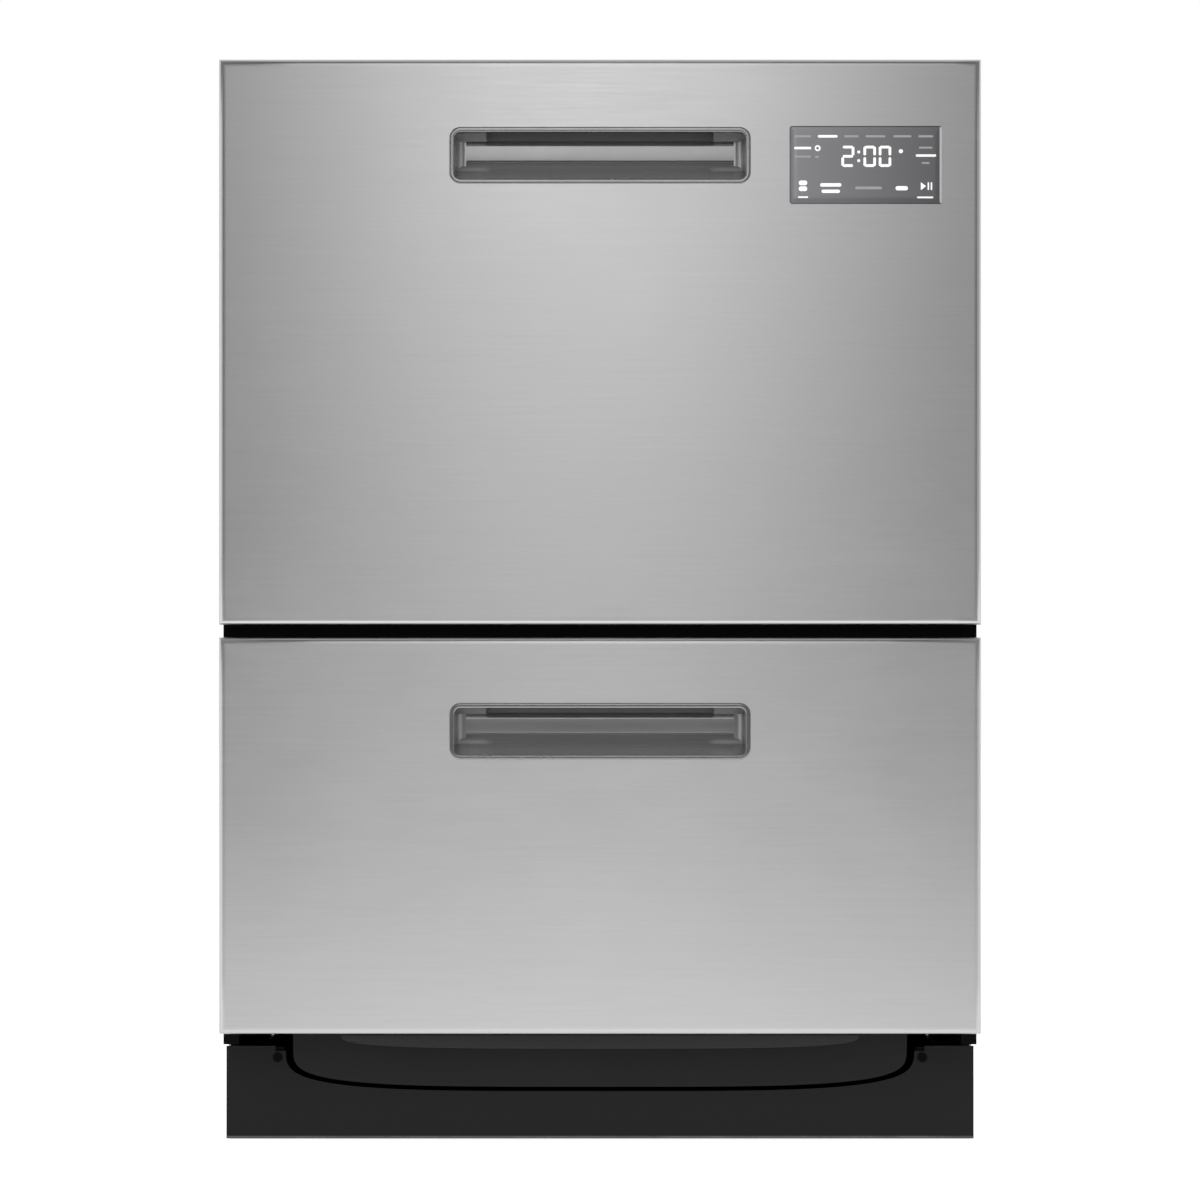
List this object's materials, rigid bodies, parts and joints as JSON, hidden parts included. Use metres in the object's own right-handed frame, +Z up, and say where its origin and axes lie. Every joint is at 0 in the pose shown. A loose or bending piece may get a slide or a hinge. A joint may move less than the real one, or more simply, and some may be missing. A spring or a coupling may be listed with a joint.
{
  "type": "two-drawer dishwasher",
  "caption": "Built-in dishwasher with an upper and a lower pull-out wash drawer, stainless panels with recessed handles, a small display and a black toe kick.",
  "frame": {"origin": "on the floor, at the centre of the footprint", "axes": "+Z up; the door panels face -Y; +X is on the right of someone who faces them"},
  "size_m": [0.598, 0.571, 0.852],
  "materials": {
    "stainless": "brushed stainless steel, grain across the panel",
    "cabinet_steel": "galvanised steel sheet, fine spangle",
    "black_moulding": "black moulded plastic, fine texture",
    "kick_plastic": "black toe kick, satin",
    "handle_metal": "silver-grey satin lacquer",
    "display_glass": "smoked window with lit segments",
    "module_plastic": "dark moulded plastic",
    "tub_plastic": "moulded light grey tub, fine texture",
    "base_plastic": "black moulded cover, satin",
    "steel_bright": "bright stainless steel",
    "zinc": "zinc plated steel strip",
    "spray_plastic": "blue-grey moulded plastic",
    "rack_nylon": "grey nylon coated wire",
    "basket_plastic": "blue-grey moulded plastic",
    "dispenser_plastic": "light grey moulded plastic",
    "flap_plastic": "grey moulded plastic",
    "lid_plastic": "grey moulded plastic",
    "seal_rubber": "soft dark seal",
    "hose_rubber": "ribbed drain hose",
    "white_plastic": "white moulded plastic",
    "screw_black": "black zinc screw",
    "foot_plastic": "black moulded foot on a zinc stud",
    "board_box": "grey electronics box"
  },
  "bodies": {
    "root": {"side_panel_left": "cabinet_steel", "side_panel_right": "cabinet_steel", "top_panel": "cabinet_steel", "rear_panel": "cabinet_steel", "base_tray": "black_moulding", "bay_divider": "cabinet_steel", "front_surround": "black_moulding", "toe_kick": "kick_plastic", "kick_screws": "screw_black", "inlet_valve": "white_plastic", "drain_pipes": "module_plastic", "power_inlet": "module_plastic", "control_module": "board_box", "fixed_runners": "zinc", "lid_actuators": "white_plastic", "upper_link_hose": "hose_rubber", "lower_link_hose": "hose_rubber"},
    "upper_drawer": {"upper_front_panel": "stainless", "upper_panel_frame": "black_moulding", "upper_handle_pocket": "handle_metal", "upper_tub": "tub_plastic", "upper_base_cover": "base_plastic", "upper_filter_plate": "steel_bright", "upper_drain_filter": "spray_plastic", "upper_wash_motor": "module_plastic", "upper_rack": "rack_nylon", "upper_cutlery_basket": "basket_plastic", "upper_dispenser": "dispenser_plastic", "upper_inner_runners": "zinc", "display_glass": "display_glass", "display_module": "module_plastic"},
    "upper_mid_runners": {"upper_mid_runners": "zinc"},
    "upper_lid": {"upper_lid": "lid_plastic", "upper_lid_seal": "seal_rubber"},
    "upper_spray_arm": {"upper_spray_arm": "spray_plastic"},
    "upper_cup_rack": {"upper_cup_rack": "basket_plastic"},
    "upper_dispenser_flap": {"upper_dispenser_flap": "flap_plastic"},
    "lower_drawer": {"lower_front_panel": "stainless", "lower_panel_frame": "black_moulding", "lower_handle_pocket": "handle_metal", "lower_tub": "tub_plastic", "lower_base_cover": "base_plastic", "lower_filter_plate": "steel_bright", "lower_drain_filter": "spray_plastic", "lower_wash_motor": "module_plastic", "lower_rack": "rack_nylon", "lower_cutlery_basket": "basket_plastic", "lower_dispenser": "dispenser_plastic", "lower_inner_runners": "zinc"},
    "lower_mid_runners": {"lower_mid_runners": "zinc"},
    "lower_lid": {"lower_lid": "lid_plastic", "lower_lid_seal": "seal_rubber"},
    "lower_spray_arm": {"lower_spray_arm": "spray_plastic"},
    "lower_cup_rack": {"lower_cup_rack": "basket_plastic"},
    "lower_dispenser_flap": {"lower_dispenser_flap": "flap_plastic"},
    "foot_front_left": {"foot_front_left": "foot_plastic"},
    "foot_front_right": {"foot_front_right": "foot_plastic"},
    "foot_rear_left": {"foot_rear_left": "foot_plastic"},
    "foot_rear_right": {"foot_rear_right": "foot_plastic"}
  },
  "joints": [
    {"name": "upper_drawer_slide", "type": "slide", "parent": "root", "child": "upper_drawer", "axis": [0, -1, 0], "range_m": [0, 0.5]},
    {"name": "upper_mid_runner_slide", "type": "slide", "parent": "root", "child": "upper_mid_runners", "axis": [0, -1, 0], "range_m": [0, 0.25]},
    {"name": "upper_lid_lower", "type": "slide", "parent": "root", "child": "upper_lid", "axis": [0, 0, -1], "range_m": [0, 0.008]},
    {"name": "upper_spray_arm_spin", "type": "hinge", "parent": "upper_drawer", "child": "upper_spray_arm", "pos_m": [0, -0.0056, 0.5005], "axis": [0, 0, 1], "continuous": true},
    {"name": "upper_cup_rack_fold", "type": "hinge", "parent": "upper_drawer", "child": "upper_cup_rack", "pos_m": [0.246, 0, 0.6445], "axis": [0, 1, 0], "range_deg": [0, 85]},
    {"name": "upper_dispenser_flap_open", "type": "hinge", "parent": "upper_drawer", "child": "upper_dispenser_flap", "pos_m": [-0.028, -0.2137, 0.7302], "axis": [-1, 0, 0], "range_deg": [0, 100]},
    {"name": "lower_drawer_slide", "type": "slide", "parent": "root", "child": "lower_drawer", "axis": [0, -1, 0], "range_m": [0, 0.5]},
    {"name": "lower_mid_runner_slide", "type": "slide", "parent": "root", "child": "lower_mid_runners", "axis": [0, -1, 0], "range_m": [0, 0.25]},
    {"name": "lower_lid_lower", "type": "slide", "parent": "root", "child": "lower_lid", "axis": [0, 0, -1], "range_m": [0, 0.008]},
    {"name": "lower_spray_arm_spin", "type": "hinge", "parent": "lower_drawer", "child": "lower_spray_arm", "pos_m": [0, -0.0056, 0.12], "axis": [0, 0, 1], "continuous": true},
    {"name": "lower_cup_rack_fold", "type": "hinge", "parent": "lower_drawer", "child": "lower_cup_rack", "pos_m": [0.246, 0, 0.264], "axis": [0, 1, 0], "range_deg": [0, 85]},
    {"name": "lower_dispenser_flap_open", "type": "hinge", "parent": "lower_drawer", "child": "lower_dispenser_flap", "pos_m": [-0.028, -0.2137, 0.2957], "axis": [-1, 0, 0], "range_deg": [0, 100]},
    {"name": "foot_front_left_height", "type": "slide", "parent": "root", "child": "foot_front_left", "axis": [0, 0, -1], "range_m": [0, 0.03]},
    {"name": "foot_front_right_height", "type": "slide", "parent": "root", "child": "foot_front_right", "axis": [0, 0, -1], "range_m": [0, 0.03]},
    {"name": "foot_rear_left_height", "type": "slide", "parent": "root", "child": "foot_rear_left", "axis": [0, 0, -1], "range_m": [0, 0.03]},
    {"name": "foot_rear_right_height", "type": "slide", "parent": "root", "child": "foot_rear_right", "axis": [0, 0, -1], "range_m": [0, 0.03]}
  ],
  "couplings": [
    {"joint": "upper_mid_runner_slide", "follows": "upper_drawer_slide", "ratio": 0.5},
    {"joint": "lower_mid_runner_slide", "follows": "lower_drawer_slide", "ratio": 0.5}
  ]
}
